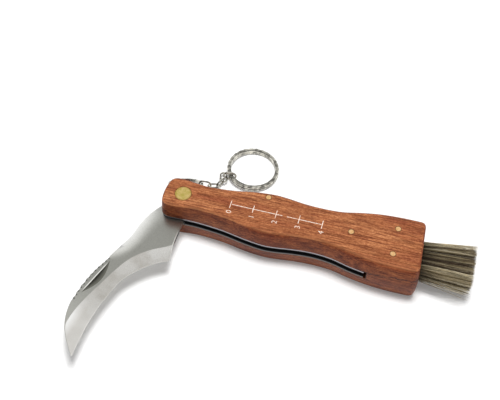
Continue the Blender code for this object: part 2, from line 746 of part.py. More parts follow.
def make_key_ring(nickel, joint):
    """The key ring, its near side lifted by the clasp and its far side down on the floor."""
    middle_radius = KEY_RING_RADIUS - KEY_BAND_WIDTH / 2
    lean = math.asin((joint.z - KEY_BAND_HEIGHT / 2 - FLOOR_GAP) / (2 * middle_radius))
    away = level_direction(KEY_RING_HEADING, lean)
    body = swept_loop(band_profile(KEY_RING_RADIUS, KEY_BAND_WIDTH, KEY_BAND_HEIGHT), RING_STEPS)
    across = Vector((0, 0, 1)).cross(away)
    hang("key_ring", body, away, across, joint + away * middle_radius, joint, nickel)


def make_brush_block(wood):
    start = SOCKET_X + SOCKET_CLEARANCE
    body = socket_body(
        start, start + BLOCK_LENGTH,
        SOCKET_HALF_WIDTH - SOCKET_CLEARANCE, SOCKET_HALF_HEIGHT - SOCKET_CLEARANCE,
    )
    block = make_object("brush_block", body, wood, 35)
    places = pin_places()
    for pin in ("brush_pin_back", "brush_pin_belly"):
        cut_with(block, pin_cutter(f"brush_block_{pin}_cutter", *places[pin]))


def make_bristles(hair):
    """Strands drawn out of every second cell of their backing, thinner and wider apart at the tips."""
    spread = random.Random(BRISTLE_SEED)
    wide, high = BRISTLE_CELLS_WIDE, BRISTLE_CELLS_HIGH
    root = SOCKET_X + 2 * SOCKET_CLEARANCE + BLOCK_LENGTH + BRISTLE_BACKING
    reach = BUTT_X + BRISTLE_REACH - root
    body = bmesh.new()
    bmesh.ops.create_grid(body, x_segments=wide, y_segments=high, size=0.5)
    to_place = Matrix(((0, 0, 1, root), (2 * BRISTLE_ROOT_HALF_WIDTH, 0, 0, 0),
                       (0, 2 * BRISTLE_ROOT_HALF_HEIGHT, 0, MIDDLE), (0, 0, 0, 1)))
    bmesh.ops.transform(body, matrix=to_place, verts=body.verts)
    cell_y = 2 * BRISTLE_ROOT_HALF_WIDTH / wide
    cell_z = 2 * BRISTLE_ROOT_HALF_HEIGHT / high
    chosen = []
    for face in body.faces:
        middle = face.calc_center_median()
        column = round((middle.y + BRISTLE_ROOT_HALF_WIDTH) / cell_y - 0.5)
        row = round((middle.z - MIDDLE + BRISTLE_ROOT_HALF_HEIGHT) / cell_z - 0.5)
        if (column + row) % 2 == 0:
            chosen.append(face)
    rim = [edge for edge in body.edges if edge.is_boundary]
    drawn = bmesh.ops.extrude_edge_only(body, edges=rim)["geom"]
    for vert in (piece for piece in drawn if isinstance(piece, bmesh.types.BMVert)):
        vert.co.x -= BRISTLE_BACKING
    bmesh.ops.contextual_create(body, geom=[edge for edge in body.edges if edge.is_boundary])
    strands = bmesh.ops.extrude_discrete_faces(body, faces=chosen)["faces"]
    for strand in strands:
        middle = strand.calc_center_median()
        out = reach - spread.uniform(0, BRISTLE_LENGTH_SPREAD)
        shift = Vector((
            out,
            BRISTLE_LEAN + middle.y * BRISTLE_FLARE_SHARE + spread.uniform(-BRISTLE_STRAY, BRISTLE_STRAY),
            (middle.z - MIDDLE) * BRISTLE_FLARE_SHARE + spread.uniform(-BRISTLE_STRAY, BRISTLE_STRAY),
        ))
        for vert in strand.verts:
            vert.co = middle + (vert.co - middle) * BRISTLE_TIP_SHARE + shift
    make_object("bristles", body, hair)


def main():
    clear_scene()
    wood = make_material("handle_wood", (0.42, 0.12, 0.05), 0.45, 0)
    brass = make_material("brass", (0.72, 0.45, 0.15), 0.3, 1)
    steel = make_material("satin_steel", (0.55, 0.55, 0.53), 0.35, 1)
    spring_steel = make_material("spring_steel", (0.45, 0.45, 0.45), 0.4, 1)
    nickel = make_material("nickel", (0.62, 0.60, 0.56), 0.2, 1)
    hair = make_material("bristle_hair", (0.16, 0.13, 0.08), 0.8, 0)
    plug = make_material("brush_wood", (0.35, 0.20, 0.09), 0.7, 0)
    make_handle(wood)
    pivot_body("pivot_rivet", 0.0, brass)
    make_pins(brass)
    make_liners(spring_steel)
    make_spring(spring_steel)
    make_blade(steel)
    make_brush_block(plug)
    make_bristles(hair)
    make_lanyard_pin(spring_steel)
    make_chain(nickel, *make_lanyard_ring(nickel))


main()
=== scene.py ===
"""Mushroom knife: the looks of a folding knife with a wooden handle, a brush and a key ring.

Metres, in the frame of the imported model: +X from the blade's pivot to the brush, -Y the belly side,
+Z up. The knife lies on its side on a pale floor.
"""

import math
import random

import bmesh
import bpy
import numpy as np
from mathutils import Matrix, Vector


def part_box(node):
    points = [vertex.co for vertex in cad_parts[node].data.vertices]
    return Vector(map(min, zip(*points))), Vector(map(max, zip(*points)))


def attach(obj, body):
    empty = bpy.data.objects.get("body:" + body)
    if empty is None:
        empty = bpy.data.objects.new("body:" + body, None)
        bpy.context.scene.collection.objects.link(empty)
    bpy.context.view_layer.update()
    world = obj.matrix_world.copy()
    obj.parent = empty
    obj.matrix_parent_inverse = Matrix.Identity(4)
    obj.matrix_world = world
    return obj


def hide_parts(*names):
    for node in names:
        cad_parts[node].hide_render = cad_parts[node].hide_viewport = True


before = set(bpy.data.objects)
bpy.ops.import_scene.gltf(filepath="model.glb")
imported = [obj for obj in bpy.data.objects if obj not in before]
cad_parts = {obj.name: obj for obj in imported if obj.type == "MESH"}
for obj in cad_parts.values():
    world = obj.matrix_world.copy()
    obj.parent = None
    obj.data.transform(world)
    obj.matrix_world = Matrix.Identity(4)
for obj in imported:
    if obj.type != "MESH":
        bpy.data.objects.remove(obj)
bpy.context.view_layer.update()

# The camera, matched to the printed scale and the handle's two faces, and set from the pivot
CAMERA_FROM_PIVOT = (0.08887, -0.21391)
CAMERA_HEIGHT = 0.33174
CAMERA_ELEVATION = math.radians(54)
CAMERA_TURN = math.radians(15.43)
FOCAL_PIXELS = 900
IMAGE_WIDTH = 500
SENSOR_WIDTH = 36
CLIP_START = 0.01

# One soft lamp, a floor, and a surround that lights the knife less than it shows
LAMP_PLACE = (0.03, 0.045, 0.80)
LAMP_SIZE = 0.30
LAMP_POWER = 6.8
FLOOR_REACH = 1.5
FLOOR_WHITE = 0.86
FLOOR_GLOW = 0.16
SURROUND_LIGHT = 0.20
SKY_TENT = ((0.50, 1.0), (0.72, 0.50), (0.88, 0.50), (0.97, 1.0))
BELLY_SKY = (-0.25, -0.55)
BELLY_SKY_TONE = 0.06

# Sizes that the dressing follows
HANDLE_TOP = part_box("handle_body")[1][2]
MIDDLE = HANDLE_TOP / 2
PIVOT = Vector(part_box("pivot_rivet")[0]).lerp(Vector(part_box("pivot_rivet")[1]), 0.5)
BLADE_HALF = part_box("blade")[1][2] - MIDDLE
LINER_LOW, LINER_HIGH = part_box("liner_upper")
BRUSH_LOW, BRUSH_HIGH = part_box("bristles")

# Wood: faces that stand up take a painted shade, mottled by its figure, and the belly side's rounded
# edges take a painted highlight.
SHADED_SIDE_FACES = (0.75, 0.95)
CREASE_HIGHLIGHT_FROM, CREASE_HIGHLIGHT_TO = (0.50, 0.72), (0.90, 0.98)
CREASE_HIGHLIGHT_SIDE = (0.0, -0.25)
CREASE_HIGHLIGHT_STRENGTH = 0.24

# A dark line in the wood's grain, along the belly side of the butt
LINE_FROM = 0.036
LINE_HEIGHT = 0.0128
LINE_SLOPE = 0.10
LINE_SWAY = 0.0042
LINE_FADE = (0.00012, 0.00048)
LINE_START = (0.0315, 0.0345)
LINE_SIDE = (-0.009, -0.010)

# How far past the liners' end the slot's shade reaches, and how sharply it ends on their rims
SLOT_END = (0.0012, 0.0015)
LINER_FADE = 0.0001
SHEET_FLATS = (0.3, 0.6)
SPRING_BACK = (0.3, 0.0)

# Depth of the fine relief on wood, metal and the blade
WOOD_RELIEF = 0.0002
METAL_RELIEF = 0.00005
SPECKLE_RELIEF = 0.000004

# A node's points and faces are joined within these limits before it is shaded smooth.
POINT_GAP = 0.000001
FACE_ANGLE = 0.0005

# Printed scale
SCALE_FROM_PIVOT = 0.02130
SCALE_START = PIVOT.x + SCALE_FROM_PIVOT
SCALE_STEP = 0.010
SCALE_LINE_WIDTH = 0.00032
SCALE_LINE_INSET = 0.0006
SCALE_GAP_TICK = 2
SCALE_GAP_PAST_TICK = 0.0027
SCALE_GAP = 0.0020
TICK_LENGTHS = (0.0042, 0.0037, 0.0042, 0.0042, 0.0042)
TICK_THICKNESS_RATIO = 1.2
NUMERAL_SIZE = 0.0033
NUMERAL_DROP = 0.0040
NUMERAL_SHIFT = 0.0003
NUMERAL_THINNING = 0.00001
PRINT_THICKNESS = 0.00003

# Brush: clumps of strands, with how far each clump and strand strays from its even place
CLUMPS_WIDE = 38
CLUMPS_HIGH = 6
CLUMP_JITTER = 0.4
CLUMP_BEND = 0.0003
CLUMP_DRIFT = (0.00055, 0.0003)
CLUMP_LENGTH_SPREAD = 0.012
CLUMP_WIDTHS = (0.50, 0.60)
HAIRS_PER_CLUMP = 15
HAIR_RADIUS = 0.000068
HAIR_RADIUS_SHARES = (0.7, 1.2)
HAIR_LENGTH_SPREAD = 0.05
HAIR_END_SPREAD = 0.00022
HAIR_BEND = 0.00012
HAIR_SEED = 11
HAIR_STEPS = 4
HAIR_TAPER = 0.55
HAIR_CORNERS = (0.0, 2.094, 4.189)
ROOT_SHARES = (0.72, 0.80)
TIP_SHARE = 0.97
OWN_TONE_SHARE = 0.86
DARK_ROOT = 0.004
FULL_TONE_SHARE = 0.45

# How often a clump is dark, olive or straw: every second clump darker, and the belly side paler
DARK, OLIVE, STRAW = range(3)
BELLY_CLUMPS = -0.45
CLUMP_TONE_SHARES = (
    {"belly": (0, 4, 6), "rest": (2, 4, 4)},
    {"belly": (4, 4, 3), "rest": (8, 3, 1)},
)
STRAW_CORNER = 0.75

# Hairs that stray from the brush on the belly side
STRAY_HAIRS = 26
STRAY_ROOT_ACROSS_SHARE = 0.80
STRAY_ROOT_DOWN_SHARES = (-0.2, 0.8)
STRAY_TIP_UP_SHARES = (0.0, 0.5)
STRAY_SHORTER = (0.0, 0.004)
STRAY_REACH = 0.0036
STRAY_BEND = (-0.0002, 0.0004)

# Blade, in its own frame: turned by this much from shut, with its spine's straight part on a line
BLADE_OPEN = math.radians(101)
SPINE_LINE = (
    (0.0080, 0.0108), (0.0101, 0.0112), (0.0135, 0.0120), (0.0166, 0.0124), (0.0205, 0.0125),
    (0.0244, 0.0127), (0.0287, 0.0137), (0.0330, 0.0148), (0.0361, 0.0154), (0.0402, 0.0163),
    (0.0451, 0.0176), (0.0504, 0.0184), (0.0566, 0.01866), (0.0624, 0.01833),
)
SPINE_SCALE = 50
# Where the flat turns paler towards the tip, a painted reflection
FLAT_TIP = (0.050, 0.066)
FLAT_SHARE = 0.998
LIES_FLAT = 0.5

# The grind: where it starts, its stretches along and across the blade that a painted reflection makes
# paler and darker, and the painted highlights at its point and cutting edge
GRIND_LINE = (
    (0.0202, 0.0053), (0.0224, 0.0032), (0.0251, -0.0001), (0.0281, -0.0031), (0.0315, -0.0057),
    (0.0358, -0.0080), (0.0408, -0.0097), (0.0462, -0.0110), (0.0519, -0.0123), (0.0579, -0.0137),
    (0.0642, -0.0146), (0.0693, -0.0148), (0.0728, -0.0142), (0.0772, -0.0109), (0.0827, -0.0052),
)
GRIND_START = ((0.0166, -0.01244), (0.0202, 0.00526))
GATHERED_SHARES = (0.4, 0.99)
GATHERED_REACH = 0.0002
GRIND_MIDDLE = (0.026, 0.046)
GRIND_TIP = (0.056, 0.068)
POINT_ALONG = (0.058, 0.068)
POINT_ACROSS = (-0.0145, -0.0110)
EDGE_BRIGHT = (0.00008, 0.00013)
EDGE_HIGHLIGHT = (1.0, 1.0, 0.98)

# Nail nick: its upright side is a straight line with a painted highlight along it, and the look is moved
# and swollen from the solid's.
NICK_FROM, NICK_TO = 0.0372, 0.0564
NICK_OFFSET, NICK_SLOPE = 0.00875, 0.1412
NICK_BEHIND = 0.0004
NICK_REACH = 0.0028
NICK_SHIFT = 0.0011
NICK_SWELL = 0.35
NICK_STILL = 0.0001
NICK_FLOOR_SHARE = 0.3
NICK_HEIGHTS = (0.0004, 0.001)
GLINT_OFFSET = 0.00014
GLINT_FADE = (0.00014, 0.00030)
GLINT_START = (0.0396, 0.0420)
GLINT_END = (0.0541, 0.0566)

# The blade rolls off along its spine, less at the heel and narrower towards the notches, and a painted
# highlight of the same shape lies over the roll.
ROLL_HIGHLIGHT_WIDTH = 0.0086
ROLL_DEPTH = 0.0018
ROLL_HIGHLIGHT_AT_HEEL_SHARE = 0.45
ROLL_HIGHLIGHT_START = (0.004, 0.015)
ROLL_HIGHLIGHT_END = (0.030, 0.038)
ROLL_HIGHLIGHT_NARROWS = (0.018, 0.030)
ROLL_HIGHLIGHT_NARROWING = 1.22

# Thumb notches
NOTCHES_FROM, NOTCHES_TO = 0.03706, 0.06166
NOTCH_COUNT = 13
NOTCH_WAVE = NOTCH_COUNT * math.pi / (NOTCHES_TO - NOTCHES_FROM)
NOTCH_SIDES = (0.45, 0.80)
NOTCH_BOTTOM = (0.0006, 0.0011)

# Pins fill their holes, and their ends rise almost level with the wood.
PIN_FILL = 0.00006
PIN_RISE = 0.00008
PIN_END = 0.0003
PIN_CORE = 0.0001
PIN_RIM_SHARES = (0.38, 0.50)

# Split rings: marks and grooves, as shares of the band's width and of its half height
HAMMER_MARKS = 26
STEPS_PER_MARK = 8
PLAIN_RING_STEPS = 96
MARK_LAG = 2.4
RIM_CUT_SHARE = 0.16
RIM_CORNER_SHARE = 0.35
RIM_FLAT_SHARE = 1.15
MARK_CUT_SHARE = 0.20
MARK_DENT_SHARE = 0.04
GROOVE_SHARE = 0.28
GROOVE_DEPTH_SHARE = 0.30
INNER_GROOVE_SHARE = 0.10
INNER_GROOVE_DEPTH_SHARE = 0.14
INNER_EDGE_SHARES = (0.12, 0.84)
# Faces of the ring's section that take painted shade: the grooves dark, the lower turn's rim grey
GROOVE_FACES = (4, 5, 12, 13)
LOWER_RIM_FACES = (6, 7, 8)
LINK_ROUNDING = 2


def node_tree(name):
    """A new material, its nodes and its surface shader."""
    material = bpy.data.materials.new(name)
    material.use_nodes = True
    tree = material.node_tree
    return material, tree, tree.nodes["Principled BSDF"]


def srgb(*values):
    """A linear colour from 0 to 255 display values."""
    return tuple(
        (v / 255 / 12.92) if v <= 10 else ((v / 255 + 0.055) / 1.055) ** 2.4 for v in values
    )


def grey(value):
    return (value, value, value)


def separate(tree, vector):
    node = tree.nodes.new("ShaderNodeSeparateXYZ")
    tree.links.new(vector, node.inputs["Vector"])
    return node.outputs


def coordinates(tree, kind):
    """One kind of the piece's own coordinates, as three values: Object, Normal or Generated."""
    return separate(tree, tree.nodes.new("ShaderNodeTexCoord").outputs[kind])


def noise(tree, scale, detail, roughness, distortion=0.0, shift=0.0):
    """Noise over the piece, with a scale per metre along each axis."""
    place = tree.nodes.new("ShaderNodeTexCoord")
    mapping = tree.nodes.new("ShaderNodeMapping")
    mapping.inputs["Scale"].default_value = scale
    mapping.inputs["Location"].default_value = (shift, 0, 0)
    texture = tree.nodes.new("ShaderNodeTexNoise")
    for name, number in (
        ("Scale", 1.0), ("Detail", detail), ("Roughness", roughness), ("Distortion", distortion),
    ):
        texture.inputs[name].default_value = number
    tree.links.new(place.outputs["Object"], mapping.inputs["Vector"])
    tree.links.new(mapping.outputs["Vector"], texture.inputs["Vector"])
    return texture.outputs["Fac"]


def ramp(tree, factor, stops):
    """A colour ramp from (position, colour) stops."""
    node = tree.nodes.new("ShaderNodeValToRGB")
    elements = node.color_ramp.elements
    while len(elements) < len(stops):
        elements.new(1)
    for element, (position, colour) in zip(elements, stops):
        element.position = position
        element.color = (*colour, 1)
    tree.links.new(factor, node.inputs["Fac"])
    return node.outputs["Color"]


def mix_colour(tree, factor, first, second, blend="MIX"):
    node = tree.nodes.new("ShaderNodeMix")
    node.data_type = "RGBA"
    node.blend_type = blend
    for value, socket in ((factor, 0), (first, 6), (second, 7)):
        if isinstance(value, (int, float)):
            node.inputs[socket].default_value = value
        elif isinstance(value, tuple):
            node.inputs[socket].default_value = (*value, 1)
        else:
            tree.links.new(value, node.inputs[socket])
    return node.outputs[2]


def span(tree, value, low, high, out_low, out_high):
    """A value's stretch from low to high, mapped to another one and held at its ends."""
    node = tree.nodes.new("ShaderNodeMapRange")
    for name, number in (
        ("From Min", low), ("From Max", high), ("To Min", out_low), ("To Max", out_high),
    ):
        node.inputs[name].default_value = number
    tree.links.new(value, node.inputs["Value"])
    return node.outputs["Result"]


def math_node(tree, operation, first, second=0.0, third=0.0):
    node = tree.nodes.new("ShaderNodeMath")
    node.operation = operation
    for value, socket in ((first, 0), (second, 1), (third, 2)):
        if isinstance(value, (int, float)):
            node.inputs[socket].default_value = value
        else:
            tree.links.new(value, node.inputs[socket])
    return node.outputs["Value"]


def product(tree, first, *others):
    for other in others:
        first = math_node(tree, "MULTIPLY", first, other)
    return first


def distance(tree, first, second):
    """How far apart two values are."""
    return math_node(tree, "ABSOLUTE", math_node(tree, "SUBTRACT", first, second))


def bump(tree, shader, height, strength, depth):
    node = tree.nodes.new("ShaderNodeBump")
    node.inputs["Strength"].default_value = strength
    node.inputs["Distance"].default_value = depth
    tree.links.new(height, node.inputs["Height"])
    tree.links.new(node.outputs["Normal"], shader.inputs["Normal"])


def grain_line(tree):
    """A dark wavy line along the belly side of the butt, 1 on the line and 0 off it."""
    x, y, z = coordinates(tree, "Object")
    wave = noise(tree, (260, 40, 40), 3.0, 0.7)
    run = math_node(tree, "SUBTRACT", x, LINE_FROM)
    height = math_node(tree, "MULTIPLY_ADD", run, LINE_SLOPE, LINE_HEIGHT)
    sway = product(tree, math_node(tree, "SUBTRACT", wave, 0.5), LINE_SWAY)
    away = distance(tree, z, math_node(tree, "ADD", height, sway))
    breaks = noise(tree, (420, 60, 60), 2.0, 0.6, shift=3.0)
    return product(
        tree,
        span(tree, away, *LINE_FADE, 1.0, 0.0),
        span(tree, x, *LINE_START, 0.0, 1.0),
        span(tree, breaks, 0.38, 0.55, 0.25, 1.0),
        span(tree, y, *LINE_SIDE, 0.0, 1.0),
    )


def in_slot(tree):
    """1 on the wood that closes the blade's slot, which lies in the shade, and 0 elsewhere."""
    x, _, z = coordinates(tree, "Object")
    between = math_node(tree, "LESS_THAN", distance(tree, z, MIDDLE), LINER_HIGH[2] - MIDDLE)
    start, stop = (LINER_HIGH[0] + past for past in SLOT_END)
    return product(tree, between, span(tree, x, start, stop, 1.0, 0.0))


def worn_edge(tree, facing):
    """The rounded edges on the belly side, which take a painted highlight."""
    return product(
        tree,
        span(tree, facing, *CREASE_HIGHLIGHT_FROM, 0.0, CREASE_HIGHLIGHT_STRENGTH),
        span(tree, facing, *CREASE_HIGHLIGHT_TO, 1.0, 0.0),
        span(tree, coordinates(tree, "Normal")[1], *CREASE_HIGHLIGHT_SIDE, 0.0, 1.0),
    )


def handle_wood():
    """Reddish-brown hardwood: soft bands, fine streaks along X, flecks and short dark pores."""
    material, tree, shader = node_tree("wood_oiled")
    bands = noise(tree, (22, 150, 150), 3.0, 0.6, 0.8)
    streaks = noise(tree, (95, 2600, 2600), 5.0, 0.75, 0.2)
    pores = noise(tree, (140, 2600, 2600), 2.0, 0.5)
    flecks = noise(tree, (1100, 1800, 1800), 2.0, 0.6)
    figure = noise(tree, (85, 85, 190), 4.0, 0.6, 1.5)
    base = ramp(tree, bands, (
        (0.30, srgb(172, 102, 71)), (0.48, srgb(195, 127, 85)), (0.68, srgb(212, 147, 101)),
    ))
    streak_tone = ramp(tree, streaks, (
        (0.40, srgb(132, 108, 98)), (0.50, srgb(218, 206, 198)), (0.60, srgb(255, 255, 255)),
    ))
    fleck_tone = ramp(tree, flecks, ((0.36, srgb(200, 180, 172)), (0.60, srgb(255, 255, 255))))
    toned = mix_colour(tree, 0.9, base, streak_tone, "MULTIPLY")
    toned = mix_colour(tree, 0.8, toned, fleck_tone, "MULTIPLY")
    toned = mix_colour(tree, span(tree, pores, 0.57, 0.64, 0.0, 0.75), toned, srgb(104, 52, 34))
    facing = math_node(tree, "ABSOLUTE", coordinates(tree, "Normal")[2])
    # Painted shade on the faces that stand up, mottled by the figure
    side = span(tree, facing, *SHADED_SIDE_FACES, 1.0, 0.0)
    side_shade_tone = ramp(tree, figure, (
        (0.30, srgb(176, 136, 114)), (0.50, srgb(220, 190, 168)), (0.70, srgb(250, 228, 206)),
    ))
    toned = mix_colour(tree, side, toned, mix_colour(tree, 1.0, toned, side_shade_tone, "MULTIPLY"))
    # Painted highlight on the belly side's rounded edges
    toned = mix_colour(tree, worn_edge(tree, facing), toned, srgb(226, 160, 112))
    toned = mix_colour(tree, grain_line(tree), toned, srgb(56, 26, 20))
    toned = mix_colour(tree, in_slot(tree), toned, srgb(34, 20, 18))
    tree.links.new(toned, shader.inputs["Base Color"])
    tree.links.new(span(tree, streaks, 0.3, 0.7, 0.56, 0.44), shader.inputs["Roughness"])
    shader.inputs["Specular IOR Level"].default_value = 0.25
    bump(tree, shader, streaks, 0.15, WOOD_RELIEF)
    return material


def plain_wood():
    """Brown unfinished wood with fine streaks along X."""
    material, tree, shader = node_tree("wood_plain")
    streaks = noise(tree, (120, 1800, 1800), 4.0, 0.6)
    tone = ramp(tree, streaks, ((0.3, srgb(60, 42, 30)), (0.7, srgb(98, 72, 52))))
    tree.links.new(tone, shader.inputs["Base Color"])
    shader.inputs["Roughness"].default_value = 0.75
    return material


def metal(name, colour, roughness, grain, grain_strength, scratch_share=0.82):
    """Metal with fine scratches, as dense as grain says, that keep this share of its colour."""
    material, tree, shader = node_tree(name)
    scratches = noise(tree, (grain, grain, grain), 3.0, 0.6)
    low = tuple(value * scratch_share for value in colour)
    tree.links.new(ramp(tree, scratches, ((0.4, low), (0.6, colour))), shader.inputs["Base Color"])
    shader.inputs["Metallic"].default_value = 1
    tree.links.new(
        span(tree, scratches, 0.3, 0.7, roughness * 1.25, roughness * 0.8), shader.inputs["Roughness"]
    )
    bump(tree, shader, scratches, grain_strength, METAL_RELIEF)
    return material


def blade_place(tree):
    """The place on the blade in the blade's own frame: along it, across it and through it."""
    turn = tree.nodes.new("ShaderNodeVectorRotate")
    turn.rotation_type = "Z_AXIS"
    turn.inputs["Center"].default_value = PIVOT
    turn.inputs["Angle"].default_value = BLADE_OPEN
    place = tree.nodes.new("ShaderNodeTexCoord").outputs["Object"]
    tree.links.new(place, turn.inputs["Vector"])
    x, y, z = separate(tree, turn.outputs["Vector"])
    return math_node(tree, "SUBTRACT", x, PIVOT.x), y, math_node(tree, "SUBTRACT", z, MIDDLE)


def from_spine(tree, along, across):
    """How far a place is from the spine, whose outline a ramp holds at its own scale."""
    start, stop = SPINE_LINE[0][0], SPINE_LINE[-1][0]
    spine = ramp(tree, span(tree, along, start, stop, 0.0, 1.0), [
        ((x - start) / (stop - start), grey(depth * SPINE_SCALE)) for x, depth in SPINE_LINE
    ])
    return math_node(tree, "ADD", across, product(tree, spine, 1 / SPINE_SCALE))


def spine_roll(tree, along, away):
    """Where the blade rolls off, which also carries a painted highlight: 1 at the spine, falling to 0 on
    the flat and at the notches.
    """
    spread = product(tree, away, span(tree, along, *ROLL_HIGHLIGHT_NARROWS, 1.0, ROLL_HIGHLIGHT_NARROWING))
    near = span(tree, spread, 0.0, ROLL_HIGHLIGHT_WIDTH, 1.0, 0.0)
    run = product(
        tree,
        span(tree, along, *ROLL_HIGHLIGHT_START, ROLL_HIGHLIGHT_AT_HEEL_SHARE, 1.0),
        span(tree, along, *ROLL_HIGHLIGHT_END, 1.0, 0.0),
    )
    return product(tree, math_node(tree, "POWER", near, 2.0), run)


def nick_glint(tree, along, across):
    """1 on the painted highlight along the nick's upright side, and 0 elsewhere."""
    line = math_node(tree, "MULTIPLY_ADD", along, NICK_SLOPE, NICK_OFFSET + GLINT_OFFSET)
    away = math_node(tree, "ABSOLUTE", math_node(tree, "ADD", across, line))
    return product(
        tree,
        span(tree, away, *GLINT_FADE, 1.0, 0.0),
        span(tree, along, *GLINT_START, 0.0, 1.0),
        span(tree, along, *GLINT_END, 1.0, 0.0),
    )


def notch_shade(tree, along, away):
    """The shade in the thumb notches, which lie side by side along the spine."""
    start = -NOTCH_WAVE * NOTCHES_FROM
    wave = math_node(tree, "SINE", math_node(tree, "MULTIPLY_ADD", along, NOTCH_WAVE, start))
    return product(
        tree,
        span(tree, math_node(tree, "POWER", wave, 2.0), *NOTCH_SIDES, 0.0, 1.0),
        span(tree, away, *NOTCH_BOTTOM, 0.85, 0.0),
        math_node(tree, "GREATER_THAN", along, NOTCHES_FROM),
        math_node(tree, "LESS_THAN", along, NOTCHES_TO),
    )


def blade_steel():
    """Satin steel, rolled off along the spine under a painted highlight, and made paler towards the tip
    by a painted reflection.
    """
    material, tree, shader = node_tree("steel_satin")
    along, across, _ = blade_place(tree)
    away = from_spine(tree, along, across)
    roll_and_highlight = spine_roll(tree, along, away)
    brushed = noise(tree, (900, 900, 900), 3.0, 0.6)
    speckle = noise(tree, (2600, 2600, 2600), 2.0, 0.6)
    base = ramp(tree, brushed, ((0.3, srgb(192, 192, 184)), (0.7, srgb(200, 200, 192))))
    # Painted reflection: the flat turns paler towards the tip
    base = mix_colour(tree, span(tree, along, *FLAT_TIP, 0.0, 0.70), base, srgb(236, 236, 228))
    # Painted highlight along the spine, over the rolled-off normals
    base = mix_colour(tree, roll_and_highlight, base, srgb(252, 252, 249))
    speckle_tone = ramp(tree, speckle, ((0.35, grey(0.72)), (0.6, grey(1.0))))
    base = mix_colour(tree, 0.35, base, speckle_tone, "MULTIPLY")
    # Painted highlight along the nick's upright side
    glint = nick_glint(tree, along, across)
    base = mix_colour(tree, glint, base, srgb(250, 250, 244))
    base = mix_colour(tree, notch_shade(tree, along, away), base, srgb(96, 96, 90))
    tree.links.new(base, shader.inputs["Base Color"])
    tree.links.new(span(tree, glint, 0.0, 1.0, 1.0, 0.2), shader.inputs["Metallic"])
    shader.inputs["Roughness"].default_value = 0.28
    grain = product(tree, speckle, SPECKLE_RELIEF)
    bump(tree, shader, math_node(tree, "MULTIPLY_ADD", roll_and_highlight, -ROLL_DEPTH, grain), 1.0, 1.0)
    return material


def ground_steel():
    """Steel as it comes off the stone: a fine speckle and soft patches, with a painted reflection along
    it and painted highlights at the point and on the cutting edge.
    """
    material, tree, shader = node_tree("steel_ground")
    along, across, through = blade_place(tree)
    speckle = noise(tree, (3000, 3000, 3000), 2.0, 0.6)
    patches = noise(tree, (140, 140, 140), 2.0, 0.5)
    base = ramp(tree, speckle, ((0.35, srgb(226, 224, 219)), (0.62, srgb(242, 241, 237))))
    tone = ramp(tree, patches, ((0.36, srgb(222, 219, 214)), (0.60, srgb(255, 255, 255))))
    base = mix_colour(tree, 0.7, base, tone, "MULTIPLY")
    # Painted reflection: darker over the middle of the grind, paler towards the tip
    base = mix_colour(tree, span(tree, along, *GRIND_MIDDLE, 0.0, 0.30), base, srgb(196, 192, 184))
    base = mix_colour(tree, span(tree, along, *GRIND_TIP, 0.0, 0.65), base, srgb(252, 250, 245))
    # Painted highlights at the point and along the cutting edge
    point = product(
        tree, span(tree, along, *POINT_ALONG, 0.0, 1.0), span(tree, across, *POINT_ACROSS, 1.0, 0.0)
    )
    base = mix_colour(tree, point, base, EDGE_HIGHLIGHT)
    edge = span(tree, math_node(tree, "ABSOLUTE", through), *EDGE_BRIGHT, 1.0, 0.0)
    base = mix_colour(tree, edge, base, EDGE_HIGHLIGHT)
    tree.links.new(base, shader.inputs["Base Color"])
    # Less metal where the painted highlights lie, so that their white shows
    highlighted = math_node(tree, "MAXIMUM", edge, product(tree, point, 0.5))
    tree.links.new(span(tree, highlighted, 0.0, 1.0, 0.92, 0.25), shader.inputs["Metallic"])
    shader.inputs["Roughness"].default_value = 0.50
    return material


def nick_steel():
    """The nail nick: painted shade, darkest where it is deep by its upright side, and lighter out to its
    bow.
    """
    material, tree, shader = node_tree("steel_nick")
    through = blade_place(tree)[2]
    grain = noise(tree, (2200, 2200, 2200), 2.0, 0.6)
    # Painted shade, darkest deep in the nick
    tone = ramp(tree, span(tree, through, *NICK_HEIGHTS, 0.0, 1.0), (
        (0.0, srgb(66, 66, 59)), (0.55, srgb(108, 108, 100)), (1.0, srgb(134, 134, 124)),
    ))
    grain_tone = ramp(tree, grain, ((0.35, grey(0.6)), (0.6, grey(1.0))))
    tone = mix_colour(tree, 0.4, tone, grain_tone, "MULTIPLY")
    tree.links.new(tone, shader.inputs["Base Color"])
    shader.inputs["Metallic"].default_value = 1
    shader.inputs["Roughness"].default_value = 0.40
    return material


def liner_shade(tree):
    """1 on a liner's flats and on the half of its rim next to the slot, and 0 elsewhere."""
    facing = math_node(tree, "ABSOLUTE", coordinates(tree, "Normal")[2])
    flat = span(tree, facing, *SHEET_FLATS, 0.0, 1.0)
    rim = (LINER_LOW[2] + LINER_HIGH[2]) / 2 - MIDDLE
    height = distance(tree, coordinates(tree, "Object")[2], MIDDLE)
    inner = span(tree, height, rim - LINER_FADE, rim + LINER_FADE, 1.0, 0.0)
    return math_node(tree, "MAXIMUM", flat, inner)


def spring_shade(tree):
    """0 where the spring faces out at the handle's back, and 1 elsewhere."""
    return span(tree, coordinates(tree, "Normal")[1], *SPRING_BACK, 0.0, 1.0)


def sheet_steel(name, bright, dark, shade):
    """Stamped sheet that is bright where it faces out of the slot and dark where it is shaded."""
    material, tree, shader = node_tree(name)
    scratches = noise(tree, (300, 4000, 4000), 3.0, 0.6)
    shaded = shade(tree)
    low = tuple(value * 0.85 for value in bright)
    shine = ramp(tree, scratches, ((0.3, low), (0.7, bright)))
    tree.links.new(mix_colour(tree, shaded, shine, dark), shader.inputs["Base Color"])
    tree.links.new(span(tree, shaded, 0.0, 1.0, 1.0, 0.1), shader.inputs["Metallic"])
    shader.inputs["Roughness"].default_value = 0.38
    return material


